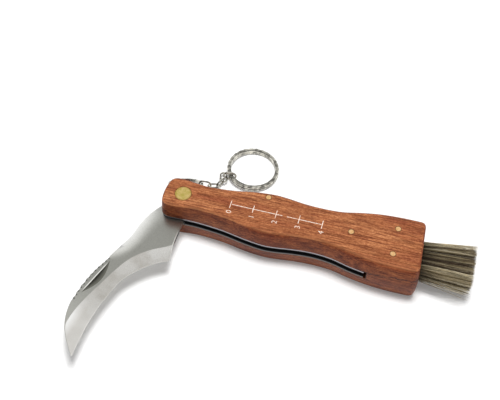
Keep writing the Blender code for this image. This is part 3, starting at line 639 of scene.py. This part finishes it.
def brass_look(name, low, high, metallic, rim):
    """Brass with soft patches, darker at the rim of each pin."""
    material, tree, shader = node_tree(name)
    patches = noise(tree, (520, 520, 520), 4.0, 0.7)
    x, y, _ = coordinates(tree, "Generated")
    x, y = (math_node(tree, "SUBTRACT", value, 0.5) for value in (x, y))
    squares = (math_node(tree, "POWER", value, 2.0) for value in (x, y))
    out = math_node(tree, "SQRT", math_node(tree, "ADD", *squares))
    tone = ramp(tree, patches, ((0.36, low), (0.64, high)))
    base = mix_colour(tree, span(tree, out, *PIN_RIM_SHARES, 0.0, 0.75), tone, rim)
    tree.links.new(base, shader.inputs["Base Color"])
    shader.inputs["Metallic"].default_value = metallic
    shader.inputs["Roughness"].default_value = 0.48
    return material


def bristle_hair(name, root, tip):
    """Hair that is darker at its root, with tones that change from strand to strand."""
    material, tree, shader = node_tree(name)
    strand = noise(tree, (60, 2600, 2600), 2.0, 0.6)
    start = BRUSH_LOW[0] + DARK_ROOT
    stop = BRUSH_LOW[0] + FULL_TONE_SHARE * (BRUSH_HIGH[0] - BRUSH_LOW[0])
    along = span(tree, coordinates(tree, "Object")[0], start, stop, 0.0, 1.0)
    strand_tone = ramp(tree, strand, ((0.35, grey(0.42)), (0.65, grey(1.0))))
    tone = mix_colour(tree, 0.8, mix_colour(tree, along, root, tip), strand_tone, "MULTIPLY")
    tree.links.new(tone, shader.inputs["Base Color"])
    shader.inputs["Roughness"].default_value = 0.65
    shader.inputs["Specular IOR Level"].default_value = 0.15
    return material


def print_white():
    """Pale print, worn so that some of the wood's tone comes through."""
    material, tree, shader = node_tree("scale_print")
    wear = noise(tree, (1300, 1300, 1300), 3.0, 0.6)
    tone = ramp(tree, wear, ((0.36, srgb(214, 168, 142)), (0.54, srgb(244, 226, 212))))
    tree.links.new(tone, shader.inputs["Base Color"])
    shader.inputs["Roughness"].default_value = 0.6
    return material


WOOD = handle_wood()
PLAIN_WOOD = plain_wood()
BRASS = brass_look(
    "brass_polished", srgb(214, 194, 96), srgb(254, 226, 154), 1.0, srgb(206, 164, 84)
)
PIN_BRASS = brass_look(
    "brass_pin", srgb(226, 174, 112), srgb(250, 208, 154), 0.55, srgb(128, 84, 46)
)
STEEL = blade_steel()
GROUND = ground_steel()
NICK = nick_steel()
LINER = sheet_steel("steel_liner", srgb(184, 176, 182), srgb(54, 54, 56), liner_shade)
SHADED_LINER = sheet_steel("steel_liner_shaded", srgb(128, 116, 110), srgb(54, 54, 56), liner_shade)
SPRING = sheet_steel("steel_spring", srgb(196, 195, 194), srgb(48, 48, 50), spring_shade)
PIN_STEEL = metal("steel_pin", srgb(180, 178, 174), 0.30, 1500, 0.10)
GROOVE = metal("nickel_shaded", srgb(70, 64, 54), 0.45, 1500, 0.10)
NICKEL = metal("nickel_bright", srgb(216, 213, 201), 0.15, 560, 0.20, 0.32)
SHADED_NICKEL = metal("nickel_rim_shaded", srgb(166, 161, 146), 0.25, 560, 0.20, 0.56)
HAIRS = {
    "dark": bristle_hair("bristle_dark", srgb(34, 28, 24), srgb(104, 90, 74)),
    "olive": bristle_hair("bristle_olive", srgb(82, 72, 58), srgb(184, 168, 134)),
    "straw": bristle_hair("bristle_straw", srgb(146, 134, 106), srgb(250, 238, 206)),
}
PRINT = print_white()


def finish_piece(piece, materials, body, slot, *nodes):
    """Gives a piece its materials and its body, and hides the nodes that it replaces; slot is not used.
    """
    piece.data.materials.clear()
    for material in materials:
        piece.data.materials.append(material)
    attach(piece, body)
    if nodes:
        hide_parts(*nodes)


def new_object(name, data):
    item = bpy.data.objects.new(name, data)
    bpy.context.scene.collection.objects.link(item)
    return item


def new_mesh(name, body, smooth_degrees=None):
    """A piece from a worked body, shaded smooth across edges that bend less than this."""
    mesh = bpy.data.meshes.new(name)
    body.to_mesh(mesh)
    body.free()
    if smooth_degrees is not None:
        mesh.shade_smooth()
        mesh.set_sharp_from_angle(angle=math.radians(smooth_degrees))
    return new_object(name, mesh)


def smoothed(node, degrees, levels=0, moved=None):
    """A copy of a node with its points joined, shaded smooth, and moved or rounded if asked."""
    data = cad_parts[node].data
    body = bmesh.new()
    places = [body.verts.new(moved(vert.co) if moved else vert.co) for vert in data.vertices]
    for polygon in data.polygons:
        body.faces.new([places[index] for index in polygon.vertices])
    bmesh.ops.remove_doubles(body, verts=body.verts, dist=POINT_GAP)
    bmesh.ops.dissolve_limit(body, angle_limit=FACE_ANGLE, verts=body.verts, edges=body.edges)
    piece = new_mesh(node + "_look", body, degrees)
    if levels:
        rounding = piece.modifiers.new("round", "SUBSURF")
        rounding.levels = levels
        rounding.render_levels = levels
    return piece


def filled_pin(node):
    """A pin grown to fill its hole, slightly crowned at its two ends."""
    piece = smoothed(node, degrees=35)
    low, high = (Vector(corner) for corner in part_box(node))
    middle = low.lerp(high, 0.5)
    for vert in piece.data.vertices:
        out = Vector((vert.co.x - middle.x, vert.co.y - middle.y, 0))
        if out.length > PIN_CORE:
            vert.co += out.normalized() * PIN_FILL
        vert.co.z += PIN_RISE if vert.co.z > high.z - PIN_END else 0
        vert.co.z -= PIN_RISE if vert.co.z < low.z + PIN_END else 0
    return piece


def on_blade(point):
    """How far along and across the blade a point is, across growing from spine to edge."""
    local = point - PIVOT
    return (
        local.x * math.cos(BLADE_OPEN) - local.y * math.sin(BLADE_OPEN),
        local.x * math.sin(BLADE_OPEN) + local.y * math.cos(BLADE_OPEN),
    )


def off_blade(shift):
    """A shift in the blade's own frame, turned into the knife's."""
    cosine, sine = math.cos(BLADE_OPEN), math.sin(BLADE_OPEN)
    return Vector((shift.x * cosine + shift.y * sine, -shift.x * sine + shift.y * cosine, 0))


def from_keel(along, across):
    """How far across the blade a place is from the nick's upright side."""
    return across + NICK_SLOPE * along + NICK_OFFSET


def gathered(point):
    """The points of the section where the hollow begins, gathered at its edge to keep the flat whole."""
    here = Vector(on_blade(point))
    spine, edge = (Vector(end) for end in GRIND_START)
    run = edge - spine
    share = (here - spine).dot(run) / run.length_squared
    nearest = spine.lerp(edge, share)
    first, last = GATHERED_SHARES
    if not first < share < last or (here - nearest).length > GATHERED_REACH:
        return point
    return point + off_blade(edge - nearest)


def draw_out_nick(piece):
    """Moves the nick towards the tip and swells its bowed side."""
    for vert in piece.data.vertices:
        along, across = on_blade(vert.co)
        bow = from_keel(along, across)
        inside = NICK_FROM < along < NICK_TO and -NICK_BEHIND < bow < NICK_REACH
        if inside and vert.co.z > MIDDLE + NICK_FLOOR_SHARE * BLADE_HALF:
            shift = Vector((NICK_SHIFT, -NICK_SLOPE * NICK_SHIFT))
            if bow > NICK_STILL:
                shift += Vector((NICK_SLOPE, 1)) * bow * NICK_SWELL
            vert.co += off_blade(shift)


def dress_blade():
    """The blade, its hollow and its nick told apart by the place and the lie of their faces."""
    piece = smoothed("blade", degrees=9, moved=gathered)
    draw_out_nick(piece)
    finish_piece(piece, (STEEL, GROUND, NICK), "blade", "satin_steel", "blade")
    ground, nick = 1, 2
    places, depths = zip(*GRIND_LINE)
    nick_reach = NICK_REACH * (1 + NICK_SWELL)
    for face in piece.data.polygons:
        lowest = min(abs(piece.data.vertices[index].co.z - MIDDLE) for index in face.vertices)
        if lowest > FLAT_SHARE * BLADE_HALF:
            continue
        along, across = on_blade(face.center)
        in_nick = (NICK_FROM < along - NICK_SHIFT < NICK_TO
                   and -NICK_BEHIND < from_keel(along, across) < nick_reach)
        if in_nick and face.center.z > MIDDLE and abs(face.normal.z) > LIES_FLAT:
            face.material_index = nick
        elif in_nick and face.center.z > MIDDLE + NICK_FLOOR_SHARE * BLADE_HALF:
            face.material_index = ground
        elif abs(face.normal.z) > LIES_FLAT and across > np.interp(along, places, depths):
            face.material_index = ground


def dress_nodes():
    """A look for each node but the bristles: the blade, the handle's pieces, the rings and links."""
    dress_blade()
    for node, material, degrees, slot in (
        ("handle_body", WOOD, 35, "handle_wood"),
        ("liner_upper", LINER, 30, "spring_steel"),
        ("liner_lower", SHADED_LINER, 30, "spring_steel"),
        ("back_spring", SPRING, 30, "spring_steel"),
        ("brush_block", PLAIN_WOOD, 35, "brush_wood"),
        ("lanyard_pin", PIN_STEEL, 35, "spring_steel"),
    ):
        finish_piece(smoothed(node, degrees), (material,), "handle", slot, node)
    finish_piece(filled_pin("pivot_rivet"), (BRASS,), "handle", "brass", "pivot_rivet")
    for node in ("spring_pin", "tail_pin", "brush_pin_back", "brush_pin_belly"):
        finish_piece(filled_pin(node), (PIN_BRASS,), "handle", "brass", node)
    ring_looks = (NICKEL, GROOVE, SHADED_NICKEL)
    finish_piece(split_ring("lanyard_ring"), ring_looks, "lanyard_ring", "nickel", "lanyard_ring")
    for node, body in (
        ("chain_link_1", "link_1"), ("chain_link_2", "link_2"), ("chain_link_3", "link_3"),
        ("chain_link_4", "link_4"), ("ring_clasp", "clasp"),
    ):
        link = smoothed(node, degrees=60, levels=LINK_ROUNDING)
        finish_piece(link, (NICKEL,), body, "nickel", node)
    finish_piece(split_ring("key_ring", HAMMER_MARKS), ring_looks, "key_ring", "nickel", "key_ring")


def ring_lie(node):
    """A ring's centre, its axes, its outer and inner radius and half its height."""
    verts = np.array([vert.co[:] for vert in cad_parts[node].data.vertices])
    centre = verts.mean(axis=0)
    offsets = verts - centre
    axes = np.linalg.svd(offsets, full_matrices=False)[2]
    heights = offsets @ axes[2]
    radii = np.linalg.norm(offsets - np.outer(heights, axes[2]), axis=1)
    return Vector(centre), [Vector(axis) for axis in axes], radii.max(), radii.min(), heights.max()


def ring_profile(outer, inner, half, upper_mark, lower_mark):
    """A split ring's section as (radius, height) points, with how deep each turn's mark is."""
    width = outer - inner
    flat_share, height_share = INNER_EDGE_SHARES
    profile = []
    for side, mark in ((1, upper_mark), (-1, lower_mark)):
        cut = width * (RIM_CUT_SHARE + MARK_CUT_SHARE * mark)
        corner = RIM_CORNER_SHARE * cut
        rim = [
            (inner + flat_share * width, half), (outer - cut * RIM_FLAT_SHARE, half),
            (outer - corner, half - corner),
            (outer - MARK_DENT_SHARE * width * mark, half - cut), (outer, GROOVE_SHARE * half),
        ]
        profile += [(radius, side * height) for radius, height in rim[::side]]
    profile.insert(len(profile) // 2, (outer - GROOVE_DEPTH_SHARE * width, 0.0))
    profile += [
        (inner, -height_share * half), (inner, -INNER_GROOVE_SHARE * half),
        (inner + INNER_GROOVE_DEPTH_SHARE * width, 0.0),
        (inner, INNER_GROOVE_SHARE * half), (inner, height_share * half),
    ]
    return profile


def bridge(body, first, second):
    """The faces between two rings of points, in the order of the points."""
    faces = []
    for index in range(len(first)):
        after = (index + 1) % len(first)
        faces.append(body.faces.new((first[index], first[after], second[after], second[index])))
    return faces


def split_ring(node, marks=0):
    """A split ring's two turns, with shallow hammer marks round the outer rim of each if asked."""
    centre, (across, along, up), outer, inner, half = ring_lie(node)
    steps = marks * STEPS_PER_MARK or PLAIN_RING_STEPS
    groove, shaded_rim = 1, 2
    body = bmesh.new()
    rings = []
    for step in range(steps):
        turn = 2 * math.pi * step / steps
        out = across * math.cos(turn) + along * math.sin(turn)
        upper = 0.5 - 0.5 * math.cos(marks * turn)
        lower = 0.5 - 0.5 * math.cos(marks * turn + MARK_LAG) if marks else 0
        rings.append([
            body.verts.new(centre + out * float(radius) + up * float(height))
            for radius, height in ring_profile(outer, inner, half, upper, lower)
        ])
    for first, second in zip(rings, rings[1:] + rings[:1]):
        faces = bridge(body, first, second)
        # Painted shade: dark in the grooves, grey on the lower turn's rim
        for index in GROOVE_FACES:
            faces[index].material_index = groove
        for index in LOWER_RIM_FACES:
            faces[index].material_index = shaded_rim
    bmesh.ops.recalc_face_normals(body, faces=body.faces)
    return new_mesh(node + "_look", body, 40)


def bar(name, x_span, y_span, thickness=PRINT_THICKNESS):
    """A thin printed bar on the handle's upper face."""
    body = bmesh.new()
    bmesh.ops.create_cube(body, size=1)
    for vert in body.verts:
        vert.co.x = x_span[vert.co.x > 0]
        vert.co.y = y_span[vert.co.y > 0]
        vert.co.z = HANDLE_TOP + (thickness if vert.co.z > 0 else -thickness)
    return new_mesh(name, body)


def printed_numeral(index, x):
    curve = bpy.data.curves.new(f"scale_numeral_{index}", "FONT")
    curve.body = str(index)
    curve.size = NUMERAL_SIZE
    curve.align_x = "CENTER"
    curve.align_y = "CENTER"
    curve.extrude = PRINT_THICKNESS
    curve.offset = -NUMERAL_THINNING
    numeral = new_object(f"scale_numeral_{index}", curve)
    numeral.location = (x + NUMERAL_SHIFT, -NUMERAL_DROP, HANDLE_TOP)
    numeral.rotation_euler = (0, 0, math.pi / 2)
    return numeral


def print_scale():
    """A centimetre rule: a line with five ticks, and numerals whose tops point to the head."""
    half = SCALE_LINE_WIDTH / 2
    gap = SCALE_START + SCALE_GAP_TICK * SCALE_STEP + SCALE_GAP_PAST_TICK
    stop = SCALE_START + (len(TICK_LENGTHS) - 1) * SCALE_STEP
    marks = [
        bar("scale_line_0", (SCALE_START + SCALE_LINE_INSET, gap), (-half, half)),
        bar("scale_line_1", (gap + SCALE_GAP, stop), (-half, half)),
    ]
    for index, length in enumerate(TICK_LENGTHS):
        x = SCALE_START + index * SCALE_STEP
        across, along = (x - half, x + half), (-length / 2, length / 2)
        thickness = TICK_THICKNESS_RATIO * PRINT_THICKNESS
        marks.append(bar(f"scale_tick_{index}", across, along, thickness))
        marks.append(printed_numeral(index, x))
    for mark in marks:
        finish_piece(mark, (PRINT,), "handle", "handle_wood")


def add_strand(body, start, end, sway, radius):
    """A three-sided strand from start to end that thins to its tip and bows by the sway."""
    rings = []
    for step in range(HAIR_STEPS + 1):
        share = step / HAIR_STEPS
        middle = start.lerp(end, share) + sway * math.sin(math.pi * share)
        size = radius * (1 - HAIR_TAPER * share)
        rings.append([
            body.verts.new(middle + Vector((0, size * math.cos(turn), size * math.sin(turn))))
            for turn in HAIR_CORNERS
        ])
    for first, second in zip(rings, rings[1:]):
        bridge(body, first, second)
    body.faces.new(rings[0][::-1])
    body.faces.new(rings[-1])


def add_clump(draw, bodies, column, row):
    """Strands that bend and drift together, mostly of one tone."""
    low, high = BRUSH_LOW, BRUSH_HIGH
    lean = (high[1] + low[1]) / 2
    half_y, half_z = (high[1] - low[1]) / 2, (high[2] - low[2]) / 2
    across = (column + 0.5 + draw.uniform(-CLUMP_JITTER, CLUMP_JITTER)) / CLUMPS_WIDE * 2 - 1
    up = (row + 0.5 + draw.uniform(-CLUMP_JITTER, CLUMP_JITTER)) / CLUMPS_HIGH * 2 - 1
    bend = Vector((0, draw.gauss(0, CLUMP_BEND), draw.gauss(0, CLUMP_BEND)))
    drift = Vector((0, draw.gauss(0, CLUMP_DRIFT[0]), draw.gauss(0, CLUMP_DRIFT[1])))
    shares = CLUMP_TONE_SHARES[(column + row) % 2]["rest" if across > BELLY_CLUMPS else "belly"]
    tone = draw.choices((DARK, OLIVE, STRAW), shares)[0]
    if row == CLUMPS_HIGH - 1 and across > STRAW_CORNER:
        tone = STRAW
    length = (high[0] - low[0]) * (1 - abs(draw.gauss(0, CLUMP_LENGTH_SPREAD)))
    for _ in range(HAIRS_PER_CLUMP):
        y = across + draw.gauss(0, CLUMP_WIDTHS[0]) / CLUMPS_WIDE
        z = up + draw.gauss(0, CLUMP_WIDTHS[1]) / CLUMPS_HIGH
        y, z = max(-1.0, min(1.0, y)), max(-1.0, min(1.0, z))
        start = Vector((low[0], y * half_y * ROOT_SHARES[0], MIDDLE + z * half_z * ROOT_SHARES[1]))
        reach = length * (1 - abs(draw.gauss(0, HAIR_LENGTH_SPREAD)))
        end = Vector((
            low[0] + reach,
            lean + y * half_y * TIP_SHARE + drift.y + draw.gauss(0, HAIR_END_SPREAD),
            MIDDLE + z * half_z * TIP_SHARE + drift.z + draw.gauss(0, HAIR_END_SPREAD),
        ))
        end.y = max(low[1], min(high[1], end.y))
        end.z = max(low[2], min(high[2], end.z))
        sway = bend + Vector((0, draw.gauss(0, HAIR_BEND), draw.gauss(0, HAIR_BEND)))
        pick = tone if draw.random() < OWN_TONE_SHARE else draw.randrange(len(bodies))
        add_strand(bodies[pick], start, end, sway, HAIR_RADIUS * draw.uniform(*HAIR_RADIUS_SHARES))


def add_stray(draw, body):
    """A hair that stands off from the brush on the belly side."""
    low, high = BRUSH_LOW, BRUSH_HIGH
    half_y, half_z = (high[1] - low[1]) / 2, (high[2] - low[2]) / 2
    root_z = MIDDLE - half_z * draw.uniform(*STRAY_ROOT_DOWN_SHARES)
    start = Vector((low[0], -half_y * STRAY_ROOT_ACROSS_SHARE, root_z))
    end = Vector((
        high[0] - draw.uniform(*STRAY_SHORTER), low[1] - STRAY_REACH * draw.random(),
        low[2] + (high[2] - low[2]) * draw.uniform(*STRAY_TIP_UP_SHARES),
    ))
    sway = Vector((0, draw.uniform(*STRAY_BEND), 0))
    add_strand(body, start, end, sway, HAIR_RADIUS)


def brush_hair():
    """Thin strands in clumps and some strays, joined in one piece for each tone."""
    draw = random.Random(HAIR_SEED)
    bodies = [bmesh.new() for _ in HAIRS]
    for column in range(CLUMPS_WIDE):
        for row in range(CLUMPS_HIGH):
            add_clump(draw, bodies, column, row)
    for number in range(STRAY_HAIRS):
        add_stray(draw, bodies[number % len(bodies)])
    for body, (name, material) in zip(bodies, HAIRS.items()):
        bmesh.ops.recalc_face_normals(body, faces=body.faces)
        piece = new_mesh("brush_hair_" + name, body, 60)
        finish_piece(piece, (material,), "handle", "bristle_hair", "bristles")


def camera():
    data = bpy.data.cameras.new("camera")
    data.sensor_width = SENSOR_WIDTH
    data.lens = FOCAL_PIXELS / IMAGE_WIDTH * SENSOR_WIDTH
    data.clip_start = CLIP_START
    view = new_object("camera", data)
    view.location = (PIVOT.x + CAMERA_FROM_PIVOT[0], CAMERA_FROM_PIVOT[1], CAMERA_HEIGHT)
    view.rotation_euler = (math.pi / 2 - CAMERA_ELEVATION, 0, CAMERA_TURN)
    bpy.context.scene.camera = view


def lamp():
    """A soft lamp above the knife, aimed at the origin, which metal doesn't mirror."""
    data = bpy.data.lights.new("key", "AREA")
    data.size = LAMP_SIZE
    data.energy = LAMP_POWER
    light = new_object("key", data)
    light.location = LAMP_PLACE
    light.rotation_euler = (-Vector(LAMP_PLACE)).to_track_quat("-Z", "Y").to_euler()
    light.visible_glossy = False


def seen_rays(tree):
    """1 for the rays that show the surround: straight to the camera, off metal or through glass."""
    path = tree.nodes.new("ShaderNodeLightPath")
    seen = math_node(tree, "MAXIMUM", path.outputs["Is Camera Ray"], path.outputs["Is Glossy Ray"])
    return math_node(tree, "MAXIMUM", seen, path.outputs["Is Transmission Ray"])


def lay_floor():
    """A white floor that keeps the shadow."""
    body = bmesh.new()
    bmesh.ops.create_grid(body, x_segments=1, y_segments=1, size=FLOOR_REACH)
    floor = new_mesh("floor", body)
    material, tree, shader = node_tree("floor_white")
    shader.inputs["Base Color"].default_value = (*grey(FLOOR_WHITE), 1)
    shader.inputs["Roughness"].default_value = 0.9
    shader.inputs["Specular IOR Level"].default_value = 0.1
    shader.inputs["Emission Color"].default_value = (*grey(FLOOR_GLOW), 1)
    tree.links.new(seen_rays(tree), shader.inputs["Emission Strength"])
    floor.data.materials.append(material)


def surround():
    """A white surround, in which metal sees a grey band and a dark belly side."""
    world = bpy.data.worlds.new("surround")
    bpy.context.scene.world = world
    world.use_nodes = True
    tree = world.node_tree
    background = tree.nodes["Background"]
    _, side, height = coordinates(tree, "Generated")
    tent = ramp(tree, height, [(place, grey(tone)) for place, tone in SKY_TENT])
    dark = span(tree, side, *BELLY_SKY, 0.0, 0.80)
    tent = mix_colour(tree, dark, tent, grey(BELLY_SKY_TONE))
    glossy = tree.nodes.new("ShaderNodeLightPath").outputs["Is Glossy Ray"]
    tree.links.new(mix_colour(tree, glossy, grey(1.0), tent), background.inputs["Color"])
    strength = span(tree, seen_rays(tree), 0.0, 1.0, SURROUND_LIGHT, 1.0)
    tree.links.new(strength, background.inputs["Strength"])


bpy.context.scene.view_settings.view_transform = "Standard"
camera()
lay_floor()
surround()
lamp()
dress_nodes()
print_scale()
brush_hair()
